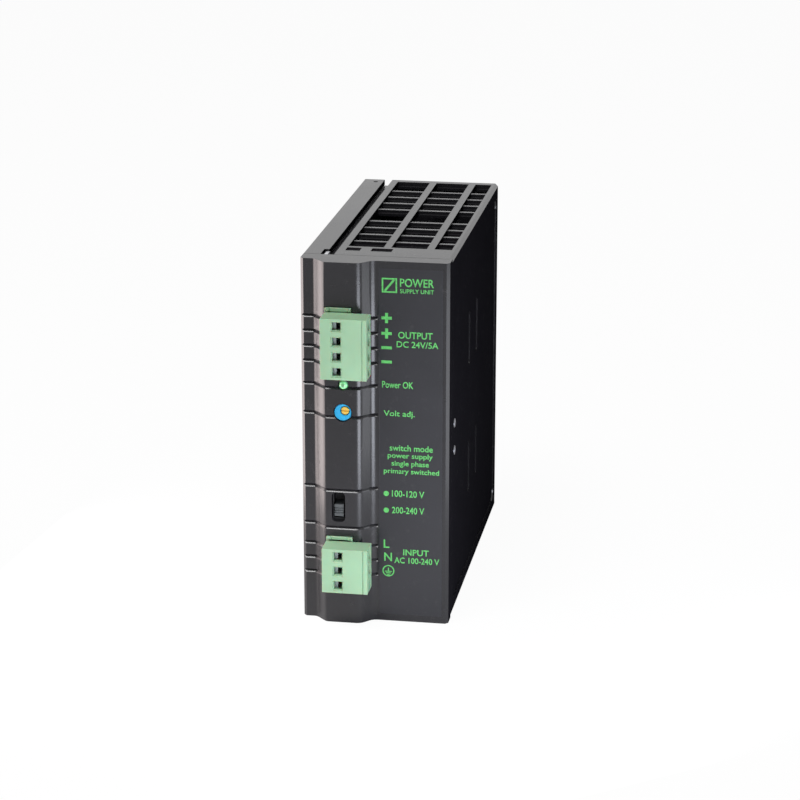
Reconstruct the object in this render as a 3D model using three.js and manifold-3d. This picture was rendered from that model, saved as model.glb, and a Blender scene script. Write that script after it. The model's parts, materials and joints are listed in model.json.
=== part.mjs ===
// A DIN rail power supply: a slim plastic case with slotted top and bottom, a front cover with a
// raised strip for its terminals, and a spring-loaded foot that clips on a 35 mm top hat rail.
// Millimetres. +X is to the device's right, +Y runs from its front into its depth, +Z is up.
// Inside the device group Y is 0 at the front cover's flat face and Z is 0 at the base.
import * as THREE from "three";
import { mergeVertices } from "three/addons/utils/BufferGeometryUtils.js";
import Module from "manifold-3d";

const wasm = await Module();
wasm.setup();

// ---- driving dimensions ----
const caseWidth = 49;
const caseHeight = 124;
const caseDepth = 120; // front cover's flat face to the rear wall
const wall = 2;
const fitGap = 0.2; // between parts that are assembled and stay put
const runningGap = 0.3; // round parts that move
const pinPitch = 5.08;

const left = -caseWidth / 2;
const right = caseWidth / 2;
const leftInner = left + wall;
const rightInner = right - wall;

// Front cover: a skirt round the case, with a raised strip along its left half.
const coverSkirt = 6; // how far the skirt reaches back
const stripRise = 4.2; // how far the strip stands out of the flat face
const strip = { footLeft: 4, topLeft: 9, topRight: 18.6, footRight: 25.2 }; // from the left side
const slopeEase = { left: 0.25, right: 0.5 }; // how far along each slope its curve's handles lie
const edgeChamfer = 1;
const groove = { depth: 0.65, width: 1.3, reach: 25.4, clear: 0.05 };
const stripFace = -stripRise;
const stripInner = stripFace + wall;

// Where things sit on the front, as X from the left side and Z from the base.
const outputTerminal = { x: 13.2, z: caseHeight - 26.7, poles: 4 };
const inputTerminal = { x: 13.2, z: 21.4, poles: 3 };
const outputLowEnd = outputTerminal.z - (outputTerminal.poles * pinPitch) / 2;
const ledSpot = { x: 14.7, z: outputLowEnd - 4.24, groove: -0.9 };
const trimmerSpot = { x: 14.5, z: ledSpot.z - 9.4, groove: -1.5 };
const selectorSpot = { x: 12.9, z: 40.8 };
const selectorGrooves = { above: 5.8, below: 7.2 };

// Pluggable terminals: a header on the front board, and a plug that slides into it.
const header = { wide: 8.8, endWall: 1.3, sideWall: 1, length: 11.3, socketDepth: 8.4 };
const headerLug = { wide: 1.6, high: 1, proud: 0.6 };
const headerFront = stripFace - 0.2;
const plug = { wide: 15.2, left: 4.4, length: 8, noseLength: 7.8, noseGap: 0.3 };
const plugLine = { fromRight: 1.5, size: 0.35 }; // the fine groove down the plug's face
const plugGap = 0.3; // plug body to header rim
const wireHole = { x: 0.9, wide: 2.8, high: 2.7, rim: 0.35, rimDepth: 0.4 };
const clampRoom = { from: -2.1, to: 6.9, front: 2, back: 1, high: 4.2 };
const cage = { wide: 5, high: 3.7, metal: 1, side: 0.35, travel: 1.5 };
const clampScrew = { radius: 1.45, headRadius: 1.9, headLength: 1.8, sunk: 1.4, slotWide: 0.6 };
const contactPin = { side: 1, reach: 7.2, tail: 1 };

// Circuit boards.
const boardThick = 1.6;
const frontBoardFace = headerFront + header.length + 0.1;
const frontBoardBack = frontBoardFace + boardThick;
const frontBoardMargin = 6.4;
const mainBoardLeft = leftInner + 2.9;
const mainBoardFace = mainBoardLeft + boardThick;
const mainBoard = { front: frontBoardBack + 0.3, back: 108, low: 6, high: caseHeight - 6 };

// Small parts on the front board.
const led = { radius: 1.5, flange: 1.9, proud: 0.6, leadSide: 0.5, leadPitch: 2.54 };
const trimmer = { side: 6.8, collar: 2.8, sunk: 0.5, pocket: 3.5 };
const trimmerScrew = { x: 0.7, z: 0.6, radius: 1.3, sunk: 0.1, length: 3, slot: 0.5 };
const trimmerWindow = 3.1; // radius of its hole in the cover
const selector = { wide: 4.5, high: 10.2, knobWide: 3.2, knobHigh: 4.2, travel: 3, sunk: 1.1 };
const selectorBody = { wide: 5.2, high: 15, cavityDepth: 4 };

// Louvred top and bottom.
const flangeWidth = 7.3; // side cover's flange along the top and bottom
const channelWidth = 2.8; // recessed gap between that flange and the louvres
const lipReach = 1.5; // shell lip that runs under the flange
const panelThick = 2.5;
const ribWidth = 2.5;
const ribSpacing = 14.3;
const bars = { width: 4.4, spacing: 9.7, drop: 0.4, count: 4, frontGroup: 28.9, rearGroup: 75.9 };
const barCrest = { flat: 1.6, fall: 1.2 }; // each bar is flat in front and falls away behind
const recess = { depth: 1.6, from: 18.2, rearMargin: 3 };
const ventMargin = 0.75; // floor left between a bar and the opening beside it
const edgeBand = 1.2; // right edge that stays full height beside the last column

// Sides: a shallow panel with four upright slots.
const sidePanel = { depth: 0.5, margin: 4.6, radius: 4 };
const sideSlot = { wide: 3.8, high: 19, front: 50.8, rear: 69, fromMiddle: 23 };

// Snap hooks of the front cover, in windows of the shell's top and bottom.
const snapWindows = [
  { from: 12.6, to: 17.4 },
  { from: 21, to: 27.9 },
];
const snap = { front: 12.3, back: 16.4, arm: 1.2, headDrop: 0.6 };

// Rail foot and its latch, on the rear wall.
const railHeight = 65; // centre line of the rail above the base
const railHalf = 17.5;
const foot = { half: 18, thick: 4.9, low: 16, high: 91, padRise: 0.2 };
const hook = { flange: 1.3, lip: 2, overlap: 2, play: 0.3 };
const latch = { half: 8, ledge: 2, thick: 3, low: 6, nose: 6 };
const spring = { radius: 1.15, wire: 0.45, turns: 6, windowHalf: 3, low: 24, high: 38, pegHigh: 3 };
const rear = caseDepth;
const railPlane = rear + 0.1 + foot.thick;
const footRear = railPlane + hook.flange + hook.lip;

// Fasteners.
const screw = { radius: 1.45, bore: 1.6, headRadius: 2.8, headLength: 1.3 };
const smallScrew = { radius: 1, bore: 1.15, headRadius: 1.5, headLength: 1 };

// ---- materials ----
const finish = (color, roughness, metalness = 0) =>
  new THREE.MeshStandardMaterial({ color, roughness, metalness });
const blackPlastic = finish(0x1d1c20, 0.45);
const labelFoil = finish(0x1f1f24, 0.4);
const terminalGreen = finish(0x8fd39f, 0.45);
const zincSteel = finish(0xb9bcc0, 0.35, 1);
const tinnedBrass = finish(0xcdb57a, 0.35, 1);
const circuitBoard = finish(0x1f5a34, 0.5);
const bluePlastic = finish(0x1c7fb5, 0.4);
const brass = finish(0xc99a3a, 0.3, 1);
const greenLens = finish(0x4fd07c, 0.15);
const switchBlack = finish(0x101012, 0.5);
const switchGrey = finish(0x4d4f52, 0.5);
const ferrite = finish(0x2c2b2b, 0.7);
const windingTape = finish(0xd8b23a, 0.5);
const copperWire = finish(0xa35a2a, 0.4, 1);
const capacitorSleeve = finish(0x23262e, 0.35);
const filmBox = finish(0xc8a628, 0.5);
const aluminium = finish(0xb4b6b8, 0.4, 1);
const glassTube = finish(0xd7dcd8, 0.1);

// ---- building blocks ----
function solid(geometry) {
  const g = geometry.clone();
  g.deleteAttribute("normal");
  g.deleteAttribute("uv");
  const merged = mergeVertices(g, 1e-4);
  return new wasm.Manifold(
    new wasm.Mesh({
      numProp: 3,
      vertProperties: merged.attributes.position.array,
      triVerts: new Uint32Array(merged.index.array),
    }),
  );
}

function geometryOf(manifold) {
  const mesh = manifold.getMesh();
  const positions = new Float32Array(mesh.numVert * 3);
  for (let i = 0; i < mesh.numVert; i++) {
    const at = i * mesh.numProp;
    positions.set(mesh.vertProperties.subarray(at, at + 3), i * 3);
  }
  const g = new THREE.BufferGeometry();
  g.setAttribute("position", new THREE.BufferAttribute(positions, 3));
  g.setIndex(new THREE.BufferAttribute(mesh.triVerts, 1));
  return g;
}

// A box between two corners given axis by axis.
function box([x0, x1], [y0, y1], [z0, z1]) {
  const g = new THREE.BoxGeometry(x1 - x0, y1 - y0, z1 - z0);
  return solid(g.translate((x0 + x1) / 2, (y0 + y1) / 2, (z0 + z1) / 2));
}

const centred = (middle, size) => [middle - size / 2, middle + size / 2];

// A round bar along an axis, between from and to, with its centre at the other two coordinates.
function bar(axis, radius, [from, to], a, b, sides = 20) {
  const g = new THREE.CylinderGeometry(radius, radius, to - from, sides);
  const middle = (from + to) / 2;
  if (axis === "x") return solid(g.rotateZ(Math.PI / 2).translate(middle, a, b));
  if (axis === "y") return solid(g.translate(a, middle, b));
  return solid(g.rotateX(Math.PI / 2).translate(a, b, middle));
}

// A body of revolution about Y from a profile of [radius, y] pairs, at x, z.
function turned(profile, x, z, sides = 24) {
  const points = profile.map(([r, y]) => new THREE.Vector2(r, y));
  return solid(new THREE.LatheGeometry(points, sides).translate(x, 0, z));
}

// Shapes drawn in one plane and pushed along the third axis.
const extrudeOptions = (depth) => ({ depth, bevelEnabled: false, curveSegments: 8 });

function pushUp(shape, [z0, z1]) {
  return solid(new THREE.ExtrudeGeometry(shape, extrudeOptions(z1 - z0)).translate(0, 0, z0));
}

function pushAcross(shapeYZ, [x0, x1]) {
  const g = new THREE.ExtrudeGeometry(shapeYZ, extrudeOptions(x1 - x0));
  const basis = new THREE.Matrix4().makeBasis(
    new THREE.Vector3(0, 1, 0),
    new THREE.Vector3(0, 0, 1),
    new THREE.Vector3(1, 0, 0),
  );
  return solid(g.applyMatrix4(basis).translate(x0, 0, 0));
}

function pushBack(shapeXZ, [y0, y1]) {
  const g = new THREE.ExtrudeGeometry(shapeXZ, extrudeOptions(y1 - y0));
  return solid(g.rotateX(Math.PI / 2).translate(0, y1, 0));
}

function polygon(points) {
  return new THREE.Shape(points.map(([a, b]) => new THREE.Vector2(a, b)));
}

function roundedRectangle([a0, a1], [b0, b1], radius) {
  const s = new THREE.Shape();
  s.moveTo(a0 + radius, b0);
  s.lineTo(a1 - radius, b0).quadraticCurveTo(a1, b0, a1, b0 + radius);
  s.lineTo(a1, b1 - radius).quadraticCurveTo(a1, b1, a1 - radius, b1);
  s.lineTo(a0 + radius, b1).quadraticCurveTo(a0, b1, a0, b1 - radius);
  s.lineTo(a0, b0 + radius).quadraticCurveTo(a0, b0, a0 + radius, b0);
  return s;
}

const join = (first, ...rest) => rest.reduce((a, b) => a.add(b), first);
const cut = (first, ...rest) => rest.reduce((a, b) => a.subtract(b), first);

function piece(parent, name, made, material) {
  const mesh = new THREE.Mesh(made.isBufferGeometry ? made : geometryOf(made), material);
  mesh.name = name;
  parent.add(mesh);
  return mesh;
}

const fromLeft = (x) => left + x;

// ---- front cover ----
// The front outline in plan, moved back by inset and running from x0 to x1.
function frontOutline(inset, x0, x1, back) {
  const s = new THREE.Shape();
  const rise = inset - stripRise;
  const handle = (from, to, ease) => fromLeft(from + (to - from) * ease);
  s.moveTo(x0, back);
  s.lineTo(x0, inset + (x0 === left ? edgeChamfer : 0));
  if (x0 === left) s.lineTo(x0 + edgeChamfer, inset);
  const upFrom = handle(strip.footLeft, strip.topLeft, slopeEase.left);
  const upTo = handle(strip.topLeft, strip.footLeft, slopeEase.left);
  s.lineTo(fromLeft(strip.footLeft), inset);
  s.bezierCurveTo(upFrom, inset, upTo, rise, fromLeft(strip.topLeft), rise);
  s.lineTo(fromLeft(strip.topRight), rise);
  const downFrom = handle(strip.topRight, strip.footRight, slopeEase.right);
  const downTo = handle(strip.footRight, strip.topRight, slopeEase.right);
  s.bezierCurveTo(downFrom, rise, downTo, inset, fromLeft(strip.footRight), inset);
  if (x1 === right) s.lineTo(x1 - edgeChamfer, inset);
  s.lineTo(x1, inset + (x1 === right ? edgeChamfer : 0));
  s.lineTo(x1, back);
  return s;
}

function terminalHeight(terminal, endWall) {
  return terminal.poles * pinPitch + 2 * endWall;
}

function pinHeights(terminal) {
  const n = terminal.poles;
  return Array.from({ length: n }, (_, i) => ((n - 1) / 2 - i) * pinPitch);
}

function grooveHeights() {
  const at = (t) => pinHeights(t).map((h) => t.z + h);
  return [
    ...at(outputTerminal),
    ledSpot.z + ledSpot.groove,
    trimmerSpot.z + trimmerSpot.groove,
    selectorSpot.z + selectorGrooves.above,
    selectorSpot.z - selectorGrooves.below,
    ...at(inputTerminal),
  ];
}

// A V-shaped groove along the front: a slab before the outline, whose middle layer lies deeper.
function grooveCut(z) {
  const ahead = stripFace - 1;
  const half = groove.width / 2;
  const outline = frontOutline(0, left - 1, fromLeft(groove.reach), ahead);
  const options = { ...extrudeOptions(groove.width), steps: 2 };
  const slab = new THREE.ExtrudeGeometry(outline, options).translate(0, 0, z - half);
  const p = slab.attributes.position;
  for (let i = 0; i < p.count; i++) {
    const middle = Math.abs(p.getZ(i) - z) < half / 2;
    if (p.getY(i) > ahead + 0.5) p.setY(i, p.getY(i) + (middle ? groove.depth : -groove.clear));
  }
  return solid(slab);
}

// The snap hooks reach back under the shell's panel, at the top or, mirrored, at the bottom.
function snapHooks(top) {
  const h = (z) => (top ? [caseHeight - z[1], caseHeight - z[0]] : z);
  const under = panelThick + fitGap;
  return snapWindows.map(({ from, to }) => {
    const across = [fromLeft(from) + runningGap, fromLeft(to) - runningGap];
    const inWindow = [snap.front + runningGap, snap.back - runningGap];
    return join(
      box(across, [wall, snap.back - runningGap], h([under, under + snap.arm])),
      box(across, [wall, coverSkirt - fitGap], h([wall - 0.1, under + 0.1])),
      box(across, inWindow, h([snap.headDrop, under + 0.1])),
    );
  });
}

function headerOpening(terminal) {
  const across = centred(fromLeft(terminal.x), header.wide + 2 * runningGap);
  const high = terminalHeight(terminal, header.endWall) + 2 * fitGap + 2 * runningGap;
  return box(across, [stripFace - 1, coverSkirt], centred(terminal.z, high));
}

const labelRecess = { from: 25.9, edge: 2.1, margin: 2.4, depth: 0.4 };
const labelX = [fromLeft(labelRecess.from), right - labelRecess.edge];
const labelZ = [labelRecess.margin, caseHeight - labelRecess.margin];

function frontCover() {
  const outer = pushUp(frontOutline(0, left, right, coverSkirt), [0, caseHeight]);
  const hollow = frontOutline(wall, leftInner, rightInner, coverSkirt + 1);
  const inner = pushUp(hollow, [wall, caseHeight - wall]);
  let cover = cut(outer, inner);
  cover = cut(
    cover,
    ...grooveHeights().map(grooveCut),
    headerOpening(outputTerminal),
    headerOpening(inputTerminal),
    bar("y", led.radius + runningGap, [stripFace - 1, 0], fromLeft(ledSpot.x), ledSpot.z),
    bar("y", trimmerWindow, [stripFace - 1, 0], fromLeft(trimmerSpot.x), trimmerSpot.z),
    pushBack(
      roundedRectangle(
        centred(fromLeft(selectorSpot.x), selector.wide),
        centred(selectorSpot.z, selector.high),
        1.6,
      ),
      [stripFace - 1, 0],
    ),
    box(labelX, [-1, labelRecess.depth], labelZ),
  );
  // Posts that the front board rests against, from the middle of the wall.
  const midWall = frontOutline(wall / 2, leftInner, rightInner, coverSkirt);
  const behind = pushUp(midWall, [0, caseHeight]);
  const postReach = [stripFace, frontBoardFace - runningGap];
  const posts = [6, caseHeight / 2, caseHeight - 6].map((z) =>
    bar("y", 2.2, postReach, fromLeft(strip.topRight + 2), z).intersect(behind),
  );
  return join(cover, ...posts, ...snapHooks(true), ...snapHooks(false));
}

// ---- shell: right side, top, bottom and rear wall in one moulding ----
const louvreLeft = fromLeft(flangeWidth + channelWidth);
const ribCentres = [0, 1, 2].map((i) => louvreLeft + ribWidth / 2 + i * ribSpacing);
const columns = ribCentres.map((centre, i) => {
  const start = centre + ribWidth / 2;
  const end = i < 2 ? start + ribSpacing - ribWidth : right - edgeBand;
  return [start, Math.min(end, i < 2 ? end : rightInner)];
});

function barStarts() {
  const groups = [bars.frontGroup, bars.rearGroup];
  return groups.flatMap((first) =>
    Array.from({ length: bars.count }, (_, i) => first + i * bars.spacing - bars.width / 2),
  );
}

// The gaps between bars, along the depth.
function louvreGaps() {
  const starts = barStarts();
  const edges = [recess.from, ...starts.flatMap((s) => [s, s + bars.width])];
  edges.push(caseDepth - recess.rearMargin);
  const gaps = [];
  for (let i = 0; i < edges.length; i += 2) gaps.push([edges[i], edges[i + 1]]);
  return gaps;
}

function louvreCuts(top) {
  const h = (z) => (top ? [caseHeight - z[1], caseHeight - z[0]] : z);
  const cuts = [];
  for (const column of columns) {
    cuts.push(box(column, [recess.from, caseDepth - recess.rearMargin], h([-1, bars.drop])));
    for (const gap of louvreGaps()) {
      cuts.push(box(column, gap, h([-1, recess.depth])));
      const open = [gap[0] + ventMargin, gap[1] - ventMargin];
      cuts.push(box(column, open, h([-1, panelThick + 1])));
    }
    for (const start of barStarts()) {
      const end = start + bars.width;
      const fall = [
        [start + barCrest.flat, bars.drop],
        [end, bars.drop + barCrest.fall],
        [end, -1],
        [start + barCrest.flat, -1],
      ];
      const wedge = top ? fall.map(([y, z]) => [y, caseHeight - z]) : fall.reverse();
      cuts.push(pushAcross(polygon(wedge), column));
    }
  }
  for (const { from, to } of snapWindows)
    cuts.push(
      box([fromLeft(from), fromLeft(to)], [snap.front, snap.back], h([-1, panelThick + 1])),
    );
  return cuts;
}

function sideSlots(x) {
  const middle = caseHeight / 2;
  const cuts = [];
  for (const y of [sideSlot.front, sideSlot.rear])
    for (const z of [middle - sideSlot.fromMiddle, middle + sideSlot.fromMiddle]) {
      const shape = roundedRectangle(
        centred(y, sideSlot.wide),
        centred(z, sideSlot.high),
        sideSlot.wide / 2 - 0.01,
      );
      cuts.push(pushAcross(shape, x));
    }
  return cuts;
}

function sidePanelCut(x) {
  const m = sidePanel.margin;
  const along = [coverSkirt + fitGap + m, caseDepth - m];
  return pushAcross(roundedRectangle(along, [m, caseHeight - m], sidePanel.radius), x);
}

const shellFront = coverSkirt + fitGap;
const lipLeft = fromLeft(flangeWidth - lipReach);
const lipTop = wall + fitGap; // depth of the shell's lip below the outer face
const lipUnder = lipTop + 2;
const coverBoss = { front: 110, reach: 9, half: 4, pad: 1, heights: [14, caseHeight - 14] };
const coverScrewY = (coverBoss.front + rear - wall) / 2;
const coverScrewHead = left + sidePanel.depth;
const footScrewHeights = [railHeight - 9, railHeight + 9];
const footBoss = { radius: 3.5, length: 6 };
const sideScrew = { y: 16, heights: [caseHeight / 2 - 6, caseHeight / 2 + 3.5], sunk: 0.9 };
const sideScrewHead = right - sidePanel.depth - sideScrew.sunk + smallScrew.headLength + 0.1;

function shell() {
  const inner = rear - wall;
  const outside = box([leftInner + fitGap, right], [shellFront, rear], [0, caseHeight]);
  const past = [shellFront - 1, rear + 1];
  const farLeft = left - 1;
  const mirrored = (z) => [z, [caseHeight - z[1], caseHeight - z[0]]];
  const web = louvreLeft + 1.5;
  let made = cut(
    outside,
    ...mirrored([-1, lipTop]).map((z) => box([farLeft, louvreLeft], past, z)),
    box([farLeft, rightInner], [shellFront - 1, inner], [lipUnder, caseHeight - lipUnder]),
    box([web, rightInner], [shellFront - 1, inner], [panelThick, caseHeight - panelThick]),
    box([farLeft, lipLeft], [shellFront - 1, inner], [-1, caseHeight + 1]),
  );
  const c = edgeChamfer;
  const chamfer = [
    [right - c, 0],
    [right, c],
    [right + 1, c],
    [right + 1, -1],
    [right - c, -1],
  ];
  const corner = (points) => pushBack(polygon(points), past);
  made = cut(
    made,
    corner(chamfer),
    corner(chamfer.map(([x, z]) => [x, caseHeight - z]).reverse()),
    ...louvreCuts(true),
    ...louvreCuts(false),
    sidePanelCut([right - sidePanel.depth, right + 1]),
    ...sideSlots([rightInner - 1, right + 1]),
    clipSlot(),
  );
  // Bosses for the side cover's screws and for the rail foot's screws.
  const bossX = [leftInner + coverBoss.pad + fitGap, leftInner + coverBoss.reach];
  const bosses = [
    ...coverBoss.heights.map((z) =>
      box(bossX, [coverBoss.front, inner + 0.1], centred(z, 2 * coverBoss.half)),
    ),
    ...footScrewHeights.map((z) =>
      bar("y", footBoss.radius, [inner - footBoss.length, inner + 0.1], 0, z),
    ),
  ];
  const bores = [
    ...coverBoss.heights.map((z) =>
      bar("x", screw.bore, [farLeft, leftInner + coverBoss.reach - 1], coverScrewY, z),
    ),
    ...footScrewHeights.map((z) =>
      bar("y", screw.bore, [inner - footBoss.length + 1, rear + 1], 0, z),
    ),
    ...sideScrew.heights.map((z) =>
      bar("x", smallScrew.bore, [rightInner - 1, right + 1], sideScrew.y, z),
    ),
    ...sideScrew.heights.map((z) =>
      bar(
        "x",
        smallScrew.headRadius + fitGap,
        [right - sidePanel.depth - sideScrew.sunk, right + 1],
        sideScrew.y,
        z,
      ),
    ),
  ];
  return cut(join(made, ...bosses), ...bores);
}

// ---- side cover: left side with flanges along the top and bottom ----
const standoffs = [
  [18, 10],
  [104, 10],
  [18, caseHeight - 10],
  [104, caseHeight - 10],
];
const standoff = { radius: 3, pin: 1.3, pinProud: 1 };
const clip = { notchFrom: 5.6, middle: 7, along: [6.9, 13], wide: 1.2, drop: 0.5 };

function sideCover() {
  const flange = fromLeft(flangeWidth);
  const along = [shellFront, rear];
  let made = join(
    box([left, leftInner], along, [0, caseHeight]),
    box([left, flange], along, [0, wall]),
    box([left, flange], along, [caseHeight - wall, caseHeight]),
    ...coverBoss.heights.map((z) =>
      box(
        [leftInner - 0.1, leftInner + coverBoss.pad],
        [coverBoss.front, rear - wall - fitGap],
        centred(z, 2 * coverBoss.half),
      ),
    ),
    ...standoffs.map(([y, z]) =>
      bar("x", standoff.radius, [leftInner - 0.1, mainBoardLeft - fitGap], y, z),
    ),
    ...standoffs.map(([y, z]) =>
      bar("x", standoff.pin, [leftInner - 0.1, mainBoardFace + standoff.pinProud], y, z, 12),
    ),
  );
  const heads = coverBoss.heights.map((z) =>
    bar("x", screw.headRadius + fitGap, [left - 1, coverScrewHead + screw.headLength + 0.1], coverScrewY, z),
  );
  const bores = coverBoss.heights.map((z) =>
    bar("x", screw.bore, [left - 1, leftInner + 2], coverScrewY, z),
  );
  const notch = box(
    [fromLeft(clip.notchFrom), flange + 1],
    [shellFront - 1, clip.along[1]],
    [caseHeight - wall - 1, caseHeight + 1],
  );
  const dimple = bar("z", 0.8, [caseHeight - 1, caseHeight + 1], fromLeft(4.6), rear - 4, 12);
  return cut(
    made,
    ...heads,
    ...bores,
    ...sideSlots([left - 1, leftInner + 1]),
    sidePanelCut([left - 1, left + sidePanel.depth]),
    notch,
    dimple,
  );
}

// A spring steel clip in the flange's notch; its stem snaps through a slot in the shell's lip.
const clipX = centred(fromLeft(clip.middle), clip.wide);
const clipY = [clip.along[0] + 0.6, clip.along[1] - 0.6];
const clipStem = { x: centred(fromLeft(clip.middle), 0.6), y: [clipY[0] + 1, clipY[1] - 1] };

function clipSlot() {
  return box(
    [clipStem.x[0] - fitGap, clipStem.x[1] + fitGap],
    [clipStem.y[0] - fitGap, clipStem.y[1] + fitGap],
    [caseHeight - lipUnder - 1, caseHeight],
  );
}

function coverClip() {
  const seat = caseHeight - lipTop + fitGap;
  const barb = caseHeight - lipUnder - runningGap;
  return join(
    box(clipX, clipY, [seat, caseHeight - clip.drop]),
    box(clipStem.x, clipStem.y, [barb - 0.9, seat + 0.1]),
    box(clipStem.x, [clipStem.y[0] - 0.6, clipStem.y[1] + 0.6], [barb - 0.9, barb]),
  );
}

// ---- fasteners ----
// A countersunk or pan head screw along an axis; the head starts at 'head' and the shank runs 'way'.
function screwAlong(axis, head, way, length, a, b, size = screw) {
  const span = (p, q) => [Math.min(p, q), Math.max(p, q)];
  const under = head + way * size.headLength;
  const tip = under + way * length;
  const shank = bar(axis, size.radius, span(under - way * 0.1, tip), a, b, 16);
  const top = bar(axis, size.headRadius, span(head, under), a, b);
  const cross = ([w, h]) => {
    const deep = span(head - way, head + way * 0.6 * size.headLength);
    if (axis === "x") return box(deep, centred(a, w), centred(b, h));
    return box(centred(a, w), deep, centred(b, h));
  };
  const long = size.headRadius * 1.2;
  const narrow = size.headRadius * 0.25;
  return cut(join(top, shank), cross([long, narrow]), cross([narrow, long]));
}

// ---- pluggable terminals ----
// Each terminal is a group whose origin is on the pins' centre line, at the plane of the header's rim.
function headerShape(terminal) {
  const high = terminalHeight(terminal, header.endWall) + 2 * fitGap;
  const socket = terminal.poles * pinPitch + 2 * fitGap;
  const inside = header.wide - 2 * header.sideWall;
  // Two small lugs on the rim at each end.
  const lugs = [-1, 1].flatMap((end) =>
    [-1, 1].map((side) =>
      box(
        centred((side * (header.wide - headerLug.wide)) / 2, headerLug.wide),
        [-headerLug.proud, 0.1],
        centred((end * (high - headerLug.high)) / 2, headerLug.high),
      ),
    ),
  );
  return cut(
    join(box(centred(0, header.wide), [0, header.length], centred(0, high)), ...lugs),
    box(centred(0, inside), [-1, header.socketDepth], centred(0, socket)),
    ...pinHeights(terminal).map((z) =>
      box(centred(0, contactPin.side + fitGap), [0, header.length + 1], centred(z, contactPin.side + fitGap)),
    ),
  );
}

function pinShape(z) {
  const side = contactPin.side;
  const tail = header.length + 0.1 + boardThick + contactPin.tail;
  return box(centred(0, side), [header.socketDepth - contactPin.reach, tail], centred(z, side));
}

const plugBack = -plugGap;
const plugFront = plugBack - plug.length;
const screwAxisY = (plugFront + clampRoom.front + plugBack - clampRoom.back) / 2;
const plugRight = plug.wide - plug.left;
const screwHeadX = plugRight - clampScrew.sunk;

function plugShape(terminal) {
  const high = terminalHeight(terminal, 0);
  const noseWide = header.wide - 2 * header.sideWall - 2 * plug.noseGap;
  const noseHigh = terminal.poles * pinPitch + 2 * fitGap - 2 * plug.noseGap;
  const room = [plugFront + clampRoom.front, plugBack - clampRoom.back];
  let made = join(
    box([-plug.left, plugRight], [plugFront, plugBack], centred(0, high)),
    box(centred(0, noseWide), [plugBack - 0.1, plugBack + plug.noseLength], centred(0, noseHigh)),
  );
  const face = plugFront + plugLine.size;
  made = cut(
    made,
    box(centred(plugRight - plugLine.fromRight, plugLine.size), [plugFront - 1, face], centred(0, high + 2)),
  );
  const rim = (size) => size + 2 * wireHole.rim;
  for (const z of pinHeights(terminal)) {
    const socket = contactPin.side + 2 * fitGap;
    made = cut(
      made,
      box(
        centred(wireHole.x, rim(wireHole.wide)),
        [plugFront - 1, plugFront + wireHole.rimDepth],
        centred(z, rim(wireHole.high)),
      ),
      box([clampRoom.from, clampRoom.to], room, centred(z, clampRoom.high)),
      box(centred(wireHole.x, wireHole.wide), [plugFront - 1, room[0] + 1], centred(z, wireHole.high)),
      box(centred(0, socket), [room[1] - 1, plugBack + plug.noseLength + 1], centred(z, socket)),
      bar("x", clampScrew.headRadius + 0.2, [clampRoom.to - 0.1, plugRight + 1], screwAxisY, z, 16),
    );
  }
  return made;
}

// A clamp screw turns in place; its head sits in the plug's right side.
function clampScrewShape(z) {
  const head = [screwHeadX - clampScrew.headLength, screwHeadX];
  const shank = [wireHole.x + wireHole.wide / 2 + 1.2, head[0] + 0.1];
  const slot = box(
    [head[1] - 0.8, head[1] + 1],
    centred(screwAxisY, 2 * clampScrew.headRadius + 1),
    centred(z, clampScrew.slotWide),
  );
  return cut(
    join(
      bar("x", clampScrew.headRadius, head, screwAxisY, z, 16),
      bar("x", clampScrew.radius, shank, screwAxisY, z, 12),
    ),
    slot,
  );
}

// The cage that the screw draws up: a square frame round the wire, with a threaded bridge.
function cageShape(z) {
  const room = [plugFront + clampRoom.front + fitGap, plugBack - clampRoom.back - fitGap];
  const from = clampRoom.from + fitGap + cage.travel;
  const m = cage.metal;
  const x = [from, from + cage.wide + m];
  return cut(
    box(x, room, centred(z, cage.high)),
    box(
      [x[0] + m, x[1] - 1.5 * m],
      [room[0] - 1, room[1] + 1],
      centred(z, cage.high - 2 * cage.side),
    ),
    bar("x", clampScrew.radius + 0.08, [x[1] - 1.5 * m - 0.1, x[1] + 1], screwAxisY, z, 12),
  );
}

function addTerminal(parent, prefix, terminal) {
  const group = new THREE.Group();
  group.position.set(fromLeft(terminal.x), headerFront, terminal.z);
  parent.add(group);
  piece(group, `${prefix}_header`, headerShape(terminal), terminalGreen);
  piece(group, `${prefix}_plug`, plugShape(terminal), terminalGreen);
  pinHeights(terminal).forEach((z, i) => {
    piece(group, `${prefix}_pin_${i + 1}`, pinShape(z), tinnedBrass);
    piece(group, `${prefix}_clamp_screw_${i + 1}`, clampScrewShape(z), zincSteel);
    piece(group, `${prefix}_clamp_cage_${i + 1}`, cageShape(z), zincSteel);
  });
}

// ---- front board and what it carries ----
function frontBoard() {
  const holes = [outputTerminal, inputTerminal].flatMap((t) =>
    pinHeights(t).map((h) =>
      box(
        centred(fromLeft(t.x), contactPin.side + 2 * fitGap),
        [frontBoardFace - 1, frontBoardBack + 1],
        centred(t.z + h, contactPin.side + 2 * fitGap),
      ),
    ),
  );
  const leads = [-1, 1].map((side) =>
    box(
      centred(fromLeft(ledSpot.x) + (side * led.leadPitch) / 2, led.leadSide + 2 * fitGap),
      [frontBoardFace - 1, frontBoardBack + 1],
      centred(ledSpot.z, led.leadSide + 2 * fitGap),
    ),
  );
  const blank = box(
    [leftInner + 1, fromLeft(strip.footRight + 1)],
    [frontBoardFace, frontBoardBack],
    [frontBoardMargin, caseHeight - frontBoardMargin],
  );
  return cut(blank, ...holes, ...leads);
}

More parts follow.
